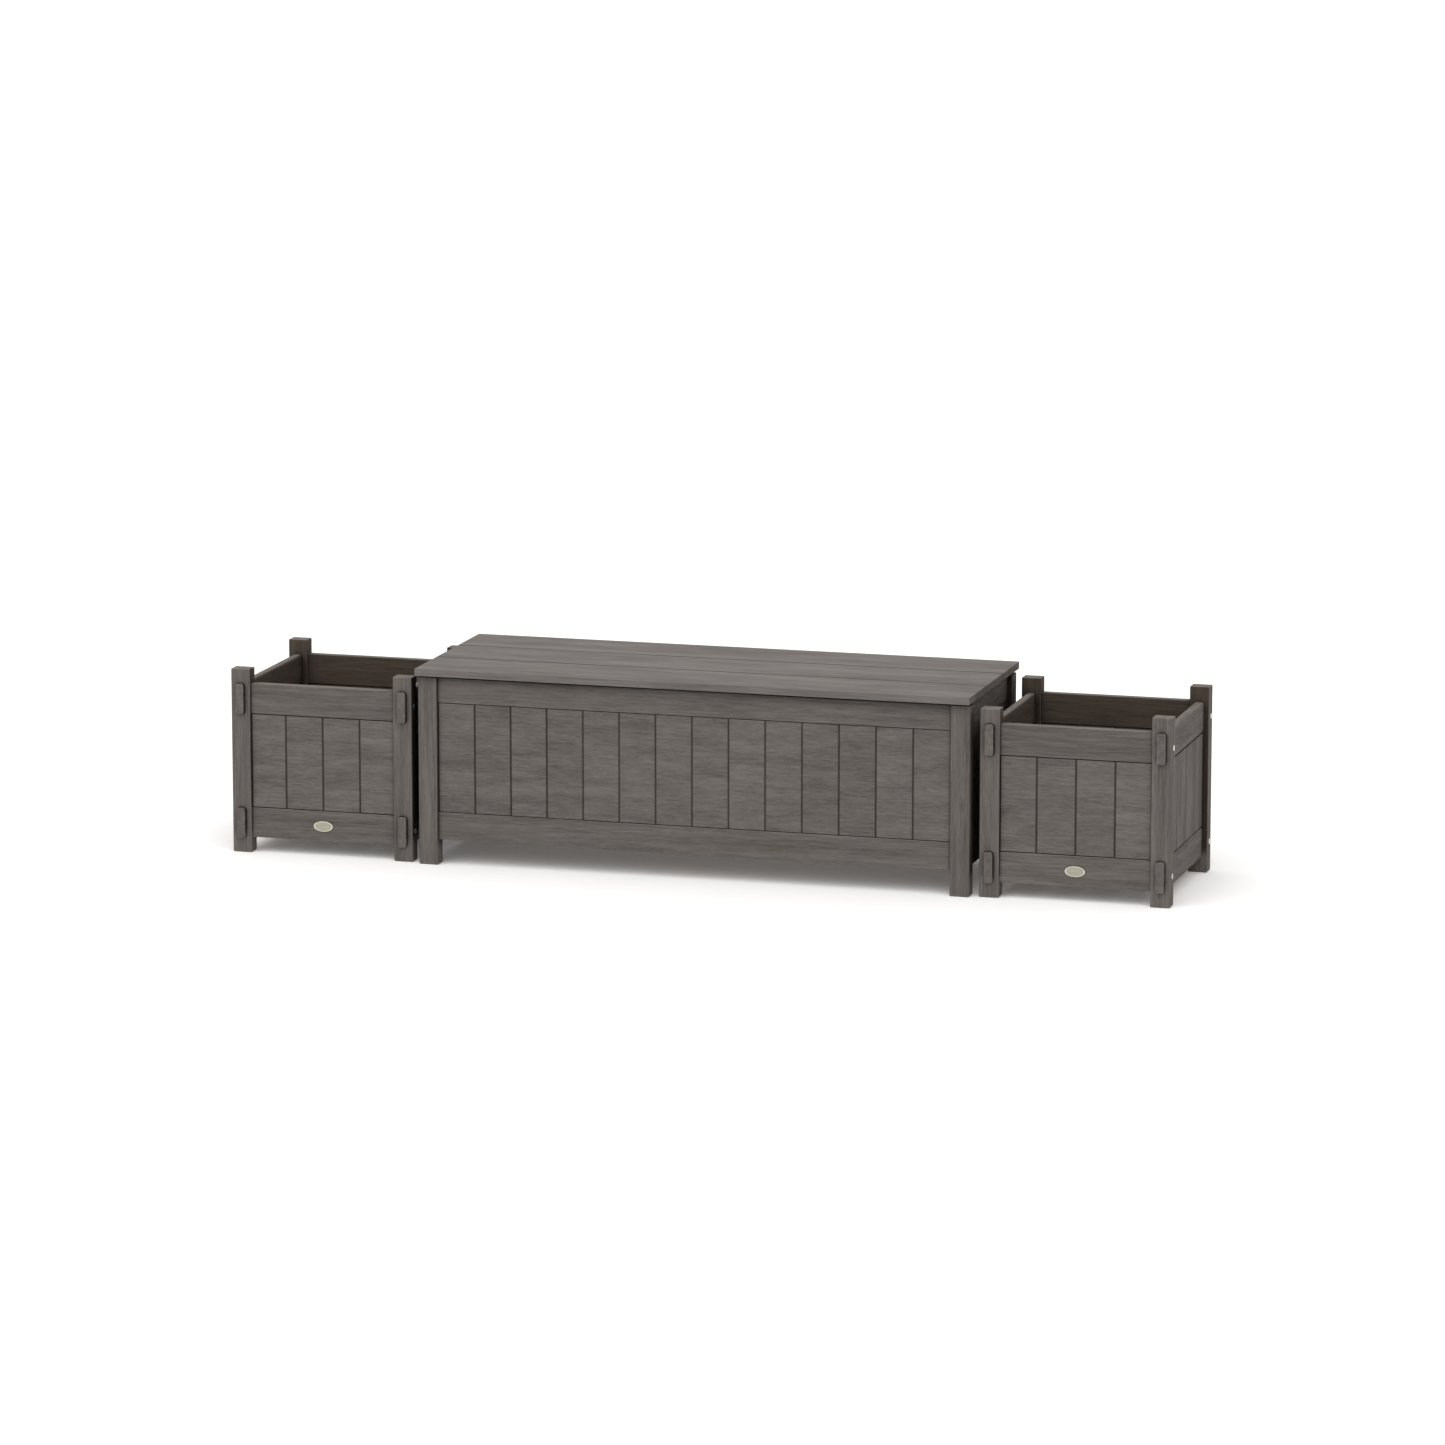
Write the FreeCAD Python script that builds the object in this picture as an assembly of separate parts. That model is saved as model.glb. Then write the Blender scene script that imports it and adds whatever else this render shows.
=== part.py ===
import FreeCAD, Part

import math
import os

from FreeCAD import Vector

# A garden storage bench with a hinged lid, and a square planter standing at each end of it.
# Millimetres. X runs along the bench, Y from front to back, Z up, and the floor is Z = 0.

os.makedirs("parts", exist_ok=True)

# Timber sections shared by the bench and the planters
post_width = 45.5
post_depth = 35.0
rail_thickness = 20.0
board_thickness = 18.0
arris = 2.0
post_arris = 2.5
post_top_round = 2.0
post_foot_chamfer = 3.0

# How far a cutting shape reaches past the face it opens, and when two positions count as one
cut_reach = 1.0
near = 1e-6

# Joinery shared by all of the frames
stub_length = 10.0
stub_thickness = 12.0
stub_shoulder = 9.0
tongue_thickness = 7.0
tongue_length = 6.0
groove_play = 0.2
panel_vee = 1.8
panel_end_vee = 1.2
panel_gap = 1.0
planter_side_panel_gap = 2.0

# Bench
bench_width = 1294.0
bench_depth = 435.0
bench_leg_height = 434.5
bench_top_rail_height = 58.0
bench_low_rail_height = 64.0
bench_rail_low = 58.0
bench_front_boards = 14
bench_front_pitch = 85.7
bench_end_boards = 4
bench_end_pitch = 91.0
bench_top_bolt_rise = 3.5

# Lid
lid_top = 457.0
lid_thickness = 16.5
lid_end_overhang = 2.0
lid_face_overhang = 17.0
lid_planks = 3
lid_plank_gap = 1.0
lid_plank_vee = 1.5
lid_round = 1.5
batten_width = 60.0
batten_thickness = 18.0
batten_length = 350.0
batten_spacing = 440.0
bumper_radius = 8.0
bumper_setback = 18.0

# Hinges under the back edge of the lid
hinge_length = 76.0
hinge_spacing = 440.0
hinge_leaf_reach = 20.0
hinge_leaf_thickness = 1.3
hinge_knuckle_radius = 3.5
hinge_pin_radius = 2.0
hinge_pin_play = 0.05
hinge_knuckles = 5
hinge_knuckle_gap = 0.4
hinge_pin_behind_rail = 3.9
hinge_pin_below_lid = 3.8
hinge_pin_head = 3.0
hinge_pin_head_length = 1.0

# Planters
planter_width = 436.5
planter_depth = 427.0
planter_height = 429.0
planter_front_step = 12.0
planter_rail_height = 70.0
planter_rail_low = 35.0
planter_rail_high = 325.0
planter_boards = 4
planter_board_pitch = 89.3
planter_gap = 19.5
tenon_proud = 10.0
tenon_corner = 5.0
tenon_end_round = 1.5
mortise_play = 1.2
mortise_play_depth = 4.0

# Floors of the bench and of the planters
cleat_depth = 18.0
cleat_height = 22.0
bench_cleat_low = 62.0
planter_cleat_low = 38.0
floor_board_thickness = 12.0
floor_board_gap = 1.5
slat_thickness = 14.0
slat_gap = 4.0
floor_play = 1.0

# Bolts through the posts into the ends of the front and back rails
bolt_radius = 3.0
bolt_head_radius = 6.5
bolt_head_height = 1.2
bolt_head_round = 0.5
bolt_socket_width = 4.0
bolt_socket_depth = 0.9
bolt_grip = 24.0

# Oval plaque on the front of each planter
plaque_width = 46.0
plaque_height = 24.0
plaque_thickness = 2.2
plaque_rim = 1.8
plaque_sink = 0.7


def block(low, high):
    """A box between two corners."""
    size = high - low
    return Part.makeBox(size.x, size.y, size.z, low)


def edges_along(shape, axis):
    """The straight edges of a shape that run along one axis."""
    found = []
    for edge in shape.Edges:
        run = edge.Vertexes[-1].Point - edge.Vertexes[0].Point
        if run.Length > 0 and abs(abs(run.normalize().dot(axis)) - 1.0) < near:
            found.append(edge)
    return found


def edges_at_height(shape, height):
    """The edges of a shape that lie in one level plane."""
    return [e for e in shape.Edges if all(abs(v.Point.z - height) < near for v in e.Vertexes)]


def placed(shape, place, turns):
    """A copy turned by quarter turns about the Z axis and then moved."""
    moved = shape.copy()
    moved.rotate(Vector(0, 0, 0), Vector(0, 0, 1), 90.0 * turns)
    moved.translate(place)
    return moved


def export(name, shapes):
    """Writes one node: a single solid, or a group of separate solids."""
    solids = [solid for shape in shapes for solid in shape.Solids]
    shape = solids[0] if len(solids) == 1 else Part.makeCompound(solids)
    assert shape.isValid(), name
    shape.exportStep("parts/" + name + ".step")


def stub_rail(length, height, groove_side):
    """A rail along X with a stub tenon on each end and a groove for the boards.

    It starts at X = 0, is centred on Y = 0 and stands on Z = 0.
    """
    half = rail_thickness / 2
    rail = block(Vector(0, -half, 0), Vector(length, half, height))
    rail = rail.makeFillet(arris, edges_along(rail, Vector(1, 0, 0)))
    stub = block(
        Vector(-stub_length, -stub_thickness / 2, stub_shoulder),
        Vector(length + stub_length, stub_thickness / 2, height - stub_shoulder),
    )
    return rail.fuse(stub).removeSplitter().cut(rail_groove(0, length, height, groove_side))


def rail_groove(start, end, height, groove_side):
    """The slot in a rail's edge that holds the tongues of the boards."""
    half = (tongue_thickness + groove_play) / 2
    depth = tongue_length + groove_play
    low = height - depth if groove_side == "top" else -cut_reach
    high = height + cut_reach if groove_side == "top" else depth
    return block(Vector(start, -half, low), Vector(end, half, high))


def tenon_bar(length, height, end_round, play):
    """The rounded section of a through-tenoned rail, along X from X = 0, with play all round it."""
    half = rail_thickness / 2 + play
    bar = block(Vector(0, -half, -play), Vector(length, half, height + play))
    bar = bar.makeFillet(tenon_corner + play, edges_along(bar, Vector(1, 0, 0)))
    if end_round > 0:
        ends = [e for e in bar.Edges if abs(e.Vertexes[0].Point.x - e.Vertexes[-1].Point.x) < near]
        bar = bar.makeFillet(end_round, ends)
    return bar


def through_rail(length, height, groove_side):
    """A side rail whose ends pass right through the posts and stand proud of them."""
    reach = post_depth + tenon_proud
    bar = tenon_bar(length + 2 * reach, height, tenon_end_round, 0)
    bar.translate(Vector(-reach, 0, 0))
    bar = bar.cut(rail_groove(0, length, height, groove_side))
    for end in (-post_depth / 2, length + post_depth / 2):
        hole = Part.makeCylinder(
            bolt_radius, rail_thickness * 2, Vector(end, -rail_thickness, height / 2), Vector(0, 1, 0)
        )
        bar = bar.cut(hole)
    return bar


def board_outline(width, right_tongue):
    """The plan of one board: vee edges, a tongue on the left, and a tongue or a groove on the right."""
    face = board_thickness / 2
    tongue = tongue_thickness / 2
    slot = tongue + groove_play / 2
    vee = panel_vee
    points = [(vee, -face), (width - vee, -face), (width, vee - face)]
    if right_tongue:
        reach = width + tongue_length
        points += [(width, -tongue), (reach, -tongue), (reach, tongue), (width, tongue)]
    else:
        reach = width - tongue_length - groove_play
        points += [(width, -slot), (reach, -slot), (reach, slot), (width, slot)]
    points += [(width, face - vee), (width - vee, face), (vee, face), (0, face - vee)]
    points += [(0, tongue), (-tongue_length, tongue), (-tongue_length, -tongue), (0, -tongue)]
    points += [(0, vee - face), (vee, -face)]
    return Part.Face(Part.makePolygon([Vector(x, y, 0) for x, y in points]))


def board(width, height, right_tongue, gap):
    """One upright board with tongues on its ends for the rails above and below it."""
    body = board_outline(width, right_tongue).extrude(Vector(0, 0, height - 2 * gap))
    face = board_thickness / 2
    ends = edges_at_height(body, 0.0) + edges_at_height(body, height - 2 * gap)
    outer = [e for e in ends if all(abs(abs(v.Point.y) - face) < near for v in e.Vertexes)]
    body = body.makeChamfer(panel_end_vee, outer)
    body.translate(Vector(0, 0, gap))
    tongue = tongue_thickness / 2
    reach = tongue_length - panel_gap
    left = tongue_length
    tongues = block(
        Vector(left, -tongue, -reach), Vector(width - left - 2 * groove_play, tongue, height + reach)
    )
    return body.fuse(tongues).removeSplitter()


def boards(length, height, count, pitch, gap):
    """A row of tongued and grooved boards between two posts: the two outer ones fill what is left."""
    outer = (length - (count - 2) * pitch) / 2
    row = []
    start = 0.0
    for index in range(count):
        last = index == count - 1
        width = outer if last or index == 0 else pitch
        piece = board(width, height, last, gap)
        piece.translate(Vector(start, 0, 0))
        row.append(piece)
        start += width
    return row


def post_blank(height, top_round):
    """A post with soft arrises and a chamfered foot, centred on Z in plan."""
    half_x = post_width / 2
    half_y = post_depth / 2
    post = block(Vector(-half_x, -half_y, 0), Vector(half_x, half_y, height))
    post = post.makeChamfer(post_foot_chamfer, edges_at_height(post, 0.0))
    post = post.makeFillet(post_arris, edges_along(post, Vector(0, 0, 1)))
    if top_round > 0:
        post = post.makeFillet(top_round, edges_at_height(post, height))
    return post


def stub_mortise(height, low, toward):
    """The blind hole for a rail's stub tenon, in the face that looks toward +X or +Y."""
    half = stub_thickness / 2
    bottom = low + stub_shoulder
    top = low + height - stub_shoulder
    if toward == "x":
        edge = post_width / 2
        return block(Vector(edge - stub_length, -half, bottom), Vector(edge + cut_reach, half, top))
    edge = post_depth / 2
    return block(Vector(-half, edge - stub_length, bottom), Vector(half, edge + cut_reach, top))


def board_slot(low, high, toward):
    """The slot in a post for the tongue of the outermost board."""
    half = (tongue_thickness + groove_play) / 2
    depth = tongue_length + groove_play
    if toward == "x":
        edge = post_width / 2
        return block(Vector(edge - depth, -half, low), Vector(edge + cut_reach, half, high))
    edge = post_depth / 2
    return block(Vector(-half, edge - depth, low), Vector(half, edge + cut_reach, high))


def bolt_hole(height):
    """The hole for a bolt, right through a post along X."""
    return Part.makeCylinder(bolt_radius, post_width * 2, Vector(-post_width, 0, height), Vector(1, 0, 0))


def corner_post(post, side_x, side_y):
    """The post for one corner, as a mirror image of the front left one."""
    mirrored = post.copy()
    if side_x > 0:
        mirrored = mirrored.mirror(Vector(0, 0, 0), Vector(1, 0, 0))
    if side_y > 0:
        mirrored = mirrored.mirror(Vector(0, 0, 0), Vector(0, 1, 0))
    return mirrored


def bench_rail_levels():
    """The bottom and top rails of the bench: name, underside and height."""
    top_base = bench_leg_height - bench_top_rail_height
    return (
        ("bottom", bench_rail_low, bench_low_rail_height),
        ("top", top_base, bench_top_rail_height),
    )


def bench_bolt_height(name, height):
    """How far the bolts stand above the underside of a bench rail."""
    return height / 2 + (bench_top_bolt_rise if name == "top" else 0)


def bench_leg(bolted):
    """The front left leg of the bench, centred on Z in plan."""
    leg = post_blank(bench_leg_height, 0)
    (_, low, low_height), (_, high, _) = bench_rail_levels()
    cuts = [board_slot(low + low_height, high, face) for face in ("x", "y")]
    for name, base, height in bench_rail_levels():
        cuts += [stub_mortise(height, base, face) for face in ("x", "y")]
        if bolted:
            cuts.append(bolt_hole(base + bench_bolt_height(name, height)))
    return leg.cut(cuts)


def planter_post():
    """The front left post of a planter, with its two through mortises, centred on Z in plan."""
    post = post_blank(planter_height, post_top_round)
    low_top = planter_rail_low + planter_rail_height
    cuts = [board_slot(low_top, planter_rail_high, face) for face in ("x", "y")]
    for low in (planter_rail_low, planter_rail_high):
        cuts.append(stub_mortise(planter_rail_height, low, "x"))
        cuts.append(bolt_hole(low + planter_rail_height / 2))
        mortise = tenon_bar(post_depth * 2, planter_rail_height, 0, 0)
        cuts.append(placed(mortise, Vector(0, -post_depth, low), 1))
        mouth = tenon_bar(post_depth, planter_rail_height, 0, mortise_play)
        edge = post_depth / 2 - mortise_play_depth
        cuts.append(placed(mouth, Vector(0, edge, low), 1))
        cuts.append(placed(mouth, Vector(0, -edge, low), 3))
    return post.cut(cuts)


def bolt():
    """A bolt along +X whose head stands on the plane X = 0 and reaches back from it."""
    shank = Part.makeCylinder(bolt_radius, post_width + bolt_grip, Vector(0, 0, 0), Vector(1, 0, 0))
    crown = Vector(-bolt_head_height, 0, 0)
    head = Part.makeCylinder(bolt_head_radius, bolt_head_height, crown, Vector(1, 0, 0))
    rim = [e for e in head.Edges if abs(e.BoundBox.XMax + bolt_head_height) < near]
    head = head.makeFillet(bolt_head_round, rim)
    corners = []
    for side in range(7):
        angle = math.radians(60 * side)
        reach = bolt_socket_width / math.sqrt(3)
        corners.append(Vector(-bolt_head_height, reach * math.cos(angle), reach * math.sin(angle)))
    socket = Part.Face(Part.makePolygon(corners)).extrude(Vector(bolt_socket_depth, 0, 0))
    return head.fuse(shank).cut(socket)


def frame_bolts(centre, width, depth, heights, sides):
    """The bolts of one frame: two through each post of the sides that have them, from its outer face."""
    group = []
    for height in heights:
        for side in sides:
            for face in (-1, 1):
                spot = Vector(
                    centre.x + side * width / 2, centre.y + face * (depth - post_depth) / 2, height
                )
                group.append(placed(bolt(), spot, 0 if side < 0 else 2))
    return group


def bolt_bore(end, height, inward):
    """The hole that a bolt follows into one end of a front or back rail."""
    spot = Vector(end, 0, height)
    grip = Part.makeCylinder(bolt_radius, bolt_grip, spot, Vector(inward, 0, 0))
    stub = Part.makeCylinder(bolt_radius, stub_length, spot, Vector(-inward, 0, 0))
    return [grip, stub]


def write_bench():
    """The open box of the bench: legs, rails, boards, floor and bolts."""
    legs = {"left": bench_leg(True), "right": bench_leg(False)}
    half_x = (bench_width - post_width) / 2
    half_y = (bench_depth - post_depth) / 2
    inner_x = bench_width - 2 * post_width
    inner_y = bench_depth - 2 * post_depth
    (_, low, low_height), (_, high, _) = bench_rail_levels()
    for face, side_y in (("front", -1), ("back", 1)):
        for side, side_x in (("left", -1), ("right", 1)):
            spot = Vector(side_x * half_x, side_y * half_y, 0)
            shape = placed(corner_post(legs[side], side_x, side_y), spot, 0)
            export("bench_" + face + "_" + side + "_leg", [shape])
    bolt_heights = []
    for name, base, height in bench_rail_levels():
        groove = "bottom" if name == "top" else "top"
        rise = bench_bolt_height(name, height)
        bolt_heights.append(base + rise)
        long_rail = stub_rail(inner_x, height, groove).cut(bolt_bore(0, rise, 1))
        short_rail = stub_rail(inner_y, height, groove)
        for face, side in (("front", -1), ("back", 1)):
            shape = placed(long_rail, Vector(-inner_x / 2, side * half_y, base), 0)
            export("bench_" + face + "_" + name + "_rail", [shape])
        for face, side in (("left", -1), ("right", 1)):
            shape = placed(short_rail, Vector(side * half_x, -inner_y / 2, base), 1)
            export("bench_" + face + "_" + name + "_rail", [shape])
    board_low = low + low_height
    long_row = boards(inner_x, high - board_low, bench_front_boards, bench_front_pitch, panel_gap)
    short_row = boards(inner_y, high - board_low, bench_end_boards, bench_end_pitch, panel_gap)
    for face, side in (("front", -1), ("back", 1)):
        spot = Vector(-inner_x / 2, side * half_y, board_low)
        export("bench_" + face + "_boards", [placed(piece, spot, 0) for piece in long_row])
    for face, side in (("left", -1), ("right", 1)):
        spot = Vector(side * half_x, -inner_y / 2, board_low)
        export("bench_" + face + "_boards", [placed(piece, spot, 1) for piece in short_row])
    bolts = frame_bolts(Vector(0, 0, 0), bench_width, bench_depth, bolt_heights, (-1,))
    export("bench_bolts", bolts)
    write_bench_floor(inner_x, half_y)


def write_bench_floor(inner_x, half_y):
    """Floor boards from front to back on a cleat along each long bottom rail."""
    rail_face = half_y - rail_thickness / 2
    cleat = block(
        Vector(-inner_x / 2, -rail_face, bench_cleat_low),
        Vector(inner_x / 2, cleat_depth - rail_face, bench_cleat_low + cleat_height),
    )
    export("bench_floor_cleats", [cleat, placed(cleat, Vector(0, 0, 0), 2)])
    top = bench_cleat_low + cleat_height
    pitch = inner_x / bench_front_boards
    row = []
    for index in range(bench_front_boards):
        start = index * pitch - inner_x / 2
        end = start + pitch
        low = Vector(start + floor_board_gap / 2, floor_play - rail_face, top)
        high = Vector(end - floor_board_gap / 2, rail_face - floor_play, top + floor_board_thickness)
        row.append(block(low, high))
    export("bench_floor_boards", row)


def lid_plank(width, length, first, last):
    """One plank of the lid along X, with rounded outer arrises and vee joints between planks."""
    plank = block(Vector(0, 0, 0), Vector(length, width, lid_thickness))
    outer = [e for e in edges_at_height(plank, lid_thickness) if is_outer(e, width, length, first, last)]
    plank = plank.makeFillet(lid_round, outer)
    joints = []
    for edge in edges_along(plank, Vector(1, 0, 0)):
        at_top = abs(edge.Vertexes[0].Point.z - lid_thickness) < near
        side = edge.Vertexes[0].Point.y
        if at_top and ((side < near and not first) or (side > width - near and not last)):
            joints.append(edge)
    return plank.makeChamfer(lid_plank_vee, joints) if joints else plank


def is_outer(edge, width, length, first, last):
    """True for the top edges of a plank that lie on the outline of the whole lid."""
    middle = edge.valueAt((edge.FirstParameter + edge.LastParameter) / 2)
    on_end = middle.x < near or middle.x > length - near
    return on_end or (middle.y < near and first) or (middle.y > width - near and last)


def write_lid():
    """The lid: three planks on battens, the lid's hinge leaves and the bumpers it rests on."""
    length = bench_width + 2 * lid_end_overhang
    depth = bench_depth + 2 * lid_face_overhang
    width = (depth - (lid_planks - 1) * lid_plank_gap) / lid_planks
    underside = lid_top - lid_thickness
    for index, name in enumerate(("front", "middle", "back")):
        plank = lid_plank(width, length, index == 0, index == lid_planks - 1)
        plank.translate(Vector(-length / 2, index * (width + lid_plank_gap) - depth / 2, underside))
        export("lid_" + name + "_plank", [plank])
    battens = []
    for step in (-1, 0, 1):
        middle = step * batten_spacing
        low = Vector(middle - batten_width / 2, -batten_length / 2, underside - batten_thickness)
        high = Vector(middle + batten_width / 2, batten_length / 2, underside)
        batten = block(low, high)
        lower = edges_at_height(batten, underside - batten_thickness)
        battens.append(batten.makeChamfer(arris, lower))
    export("lid_battens", battens)
    bumpers = []
    for side in (-1, 1):
        spot = Vector(
            side * (bench_width - post_width) / 2, bumper_setback - bench_depth / 2, bench_leg_height
        )
        bumpers.append(Part.makeCylinder(bumper_radius, underside - bench_leg_height, spot))
    export("lid_bumpers", bumpers)


def hinge_centre():
    """Where the hinge pins run: behind the back top rail and just under the lid."""
    rail_back = (bench_depth - post_depth + rail_thickness) / 2
    return Vector(0, rail_back + hinge_pin_behind_rail, lid_top - lid_thickness - hinge_pin_below_lid)


def hinge_leaf(turning):
    """One leaf with its knuckles, centred on X = 0: the lid's leaf if turning, else the bench's."""
    pin = hinge_centre()
    underside = lid_top - lid_thickness
    rail_back = pin.y - hinge_pin_behind_rail
    top = underside if turning else bench_leg_height + hinge_leaf_thickness
    front = rail_back - hinge_leaf_reach + floor_play
    plate = block(
        Vector(-hinge_length / 2, front, top - hinge_leaf_thickness),
        Vector(hinge_length / 2, rail_back - floor_play, top),
    )
    pitch = hinge_length / hinge_knuckles
    bore = hinge_pin_radius + (hinge_pin_play if turning else 0)
    parts = []
    for index in range(1 if turning else 0, hinge_knuckles, 2):
        start = index * pitch - hinge_length / 2 + hinge_knuckle_gap / 2
        end = start + pitch - hinge_knuckle_gap
        spot = Vector(start, pin.y, pin.z)
        parts.append(Part.makeCylinder(hinge_knuckle_radius, end - start, spot, Vector(1, 0, 0)))
        reach = pin.y if turning else pin.y - hinge_pin_radius
        strap_low = Vector(start, rail_back - 2 * floor_play, top - hinge_leaf_thickness)
        parts.append(block(strap_low, Vector(end, reach, top)))
    leaf = plate.fuse(parts).removeSplitter()
    hole = Part.makeCylinder(bore, hinge_length * 2, Vector(-hinge_length, pin.y, pin.z), Vector(1, 0, 0))
    return leaf.cut(hole)


def hinge_pin():
    """The pin of one hinge, with a small head on each end."""
    pin = hinge_centre()
    half = hinge_length / 2
    head = hinge_pin_head_length
    along = Vector(1, 0, 0)
    rod = Part.makeCylinder(hinge_pin_radius, hinge_length, Vector(-half, pin.y, pin.z), along)
    heads = []
    for start in (-half - head, half):
        heads.append(Part.makeCylinder(hinge_pin_head, head, Vector(start, pin.y, pin.z), along))
    return rod.fuse(heads).removeSplitter()


def write_hinges():
    """Three butt hinges between the back top rail and the lid."""
    spots = [Vector(step * hinge_spacing, 0, 0) for step in (-1, 0, 1)]
    for name, shape in (
        ("hinge_frame_leaves", hinge_leaf(False)),
        ("hinge_lid_leaves", hinge_leaf(True)),
        ("hinge_pins", hinge_pin()),
    ):
        export(name, [placed(shape, spot, 0) for spot in spots])


def plaque():
    """A bare oval plate with a raised rim, facing -Y, with its back on Y = 0."""
    outer = oval(plaque_width, plaque_height).extrude(Vector(0, -plaque_thickness, 0))
    field = oval(plaque_width - 2 * plaque_rim, plaque_height - 2 * plaque_rim)
    field = field.extrude(Vector(0, -plaque_sink, 0))
    field.translate(Vector(0, plaque_sink - plaque_thickness, 0))
    return outer.cut(field)


def oval(width, height):
    """An oval face standing in the XZ plane."""
    ellipse = Part.Ellipse(Vector(0, 0, 0), width / 2, height / 2).toShape()
    face = Part.Face(Part.Wire(ellipse))
    face.rotate(Vector(0, 0, 0), Vector(1, 0, 0), 90)
    return face


def write_planter(name, centre):
    """One planter: posts, rails, boards, slatted base, bolts and plaque."""
    half_x = (planter_width - post_width) / 2
    half_y = (planter_depth - post_depth) / 2
    inner_x = planter_width - 2 * post_width
    inner_y = planter_depth - 2 * post_depth
    low = planter_rail_low
    high = planter_rail_high
    height = planter_rail_height
    post = planter_post()
    for face, side_y in (("front", -1), ("back", 1)):
        for side, side_x in (("left", -1), ("right", 1)):
            spot = centre + Vector(side_x * half_x, side_y * half_y, 0)
            shape = placed(corner_post(post, side_x, side_y), spot, 0)
            export(name + "_" + face + "_" + side + "_post", [shape])
    levels = ((high, "bottom"), (low, "top"))
    for face, side in (("front", -1), ("back", 1)):
        pair = []
        for base, groove in levels:
            bores = bolt_bore(0, height / 2, 1) + bolt_bore(inner_x, height / 2, -1)
            rail = stub_rail(inner_x, height, groove).cut(bores)
            pair.append(placed(rail, centre + Vector(-inner_x / 2, side * half_y, base), 0))
        export(name + "_" + face + "_rails", pair)
    for face, side in (("left", -1), ("right", 1)):
        pair = []
        for base, groove in levels:
            rail = through_rail(inner_y, height, groove)
            pair.append(placed(rail, centre + Vector(side * half_x, -inner_y / 2, base), 1))
        export(name + "_" + face + "_rails", pair)
    board_low = low + height
    panel = high - board_low
    front_row = boards(inner_x, panel, planter_boards, planter_board_pitch, panel_gap)
    side_row = boards(inner_y, panel, planter_boards, planter_board_pitch, planter_side_panel_gap)
    for face, side in (("front", -1), ("back", 1)):
        spot = centre + Vector(-inner_x / 2, side * half_y, board_low)
        export(name + "_" + face + "_boards", [placed(piece, spot, 0) for piece in front_row])
    for face, side in (("left", -1), ("right", 1)):
        spot = centre + Vector(side * half_x, -inner_y / 2, board_low)
        export(name + "_" + face + "_boards", [placed(piece, spot, 1) for piece in side_row])
    heights = (low + height / 2, high + height / 2)
    export(name + "_bolts", frame_bolts(centre, planter_width, planter_depth, heights, (-1, 1)))
    rail_front = centre.y - half_y - rail_thickness / 2
    spot = Vector(centre.x, rail_front, low + height / 2)
    export(name + "_plaque", [placed(plaque(), spot, 0)])
    write_planter_base(name, centre, inner_x, half_y)


def write_planter_base(name, centre, inner_x, half_y):
    """Slats from front to back with drainage gaps, on a cleat along each bottom rail."""
    rail_face = half_y - rail_thickness / 2
    cleat = block(
        Vector(-inner_x / 2, -rail_face, planter_cleat_low),
        Vector(inner_x / 2, cleat_depth - rail_face, planter_cleat_low + cleat_height),
    )
    export(name + "_base_cleats", [placed(cleat, centre, 0), placed(cleat, centre, 2)])
    top = planter_cleat_low + cleat_height
    width = (inner_x - 2 * floor_play - (planter_boards - 1) * slat_gap) / planter_boards
    row = []
    for index in range(planter_boards):
        start = floor_play - inner_x / 2 + index * (width + slat_gap)
        low = centre + Vector(start, floor_play - rail_face, top)
        high = centre + Vector(start + width, rail_face - floor_play, top + slat_thickness)
        row.append(block(low, high))
    export(name + "_base_slats", row)


def main():
    write_bench()
    write_lid()
    write_hinges()
    planter_x = bench_width / 2 + planter_gap + planter_width / 2
    planter_y = (planter_depth - bench_depth) / 2 + planter_front_step
    write_planter("left_planter", Vector(-planter_x, planter_y, 0))
    write_planter("right_planter", Vector(planter_x, planter_y, 0))


main()
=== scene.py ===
import math

import bpy
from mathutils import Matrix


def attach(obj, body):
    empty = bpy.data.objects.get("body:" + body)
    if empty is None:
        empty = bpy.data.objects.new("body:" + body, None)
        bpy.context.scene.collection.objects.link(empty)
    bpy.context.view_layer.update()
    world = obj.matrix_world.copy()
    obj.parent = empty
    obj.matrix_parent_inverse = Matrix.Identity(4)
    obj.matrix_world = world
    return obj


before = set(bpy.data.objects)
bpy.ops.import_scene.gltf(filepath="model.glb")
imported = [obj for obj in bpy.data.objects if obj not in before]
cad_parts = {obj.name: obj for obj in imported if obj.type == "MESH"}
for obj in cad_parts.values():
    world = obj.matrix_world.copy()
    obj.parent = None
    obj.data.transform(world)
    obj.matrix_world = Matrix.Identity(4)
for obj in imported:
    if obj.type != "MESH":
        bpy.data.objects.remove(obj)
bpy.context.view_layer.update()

print("stage: packed model loaded,", len(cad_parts), "nodes")

# Camera, lamps, floor and backdrop

cameraView = {
    "place": (4.2101, -14.5353, 3.2431),
    "turn": 16.112,  # degrees from straight ahead
    "dip": 10.920,  # degrees below the horizon
    "lens": 168.35,
    "filmWidth": 36.0,
}

studioLight = {
    "skyColour": (1.0, 0.99, 0.98),
    "skyStrength": 0.62,
    "lampStrength": 1.15,
    "lampColour": (1.0, 0.99, 0.98),
    "lampSpread": 70.0,  # degrees, wide for soft shadows
    "lampTiltFront": 40.0,  # degrees towards the viewer
    "lampTiltSide": 0.0,  # degrees towards the left
}

studioFloor = {
    "halfSize": 32.0,
    "bounceColour": (0.9, 0.9, 0.9),
    "shownColour": (1.26, 1.26, 1.26),
    "glowColour": (1.0, 0.94, 0.90),
    "shownGlow": 0.09,  # keeps the shadow on the floor pale
}


def addNode(tree, kind, inputs=None, **settings):
    made = tree.nodes.new(kind)
    for key, value in settings.items():
        setattr(made, key, value)
    for key, value in (inputs or {}).items():
        if isinstance(value, bpy.types.NodeSocket):
            tree.links.new(value, made.inputs[key])
        else:
            made.inputs[key].default_value = value
    return made


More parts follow.
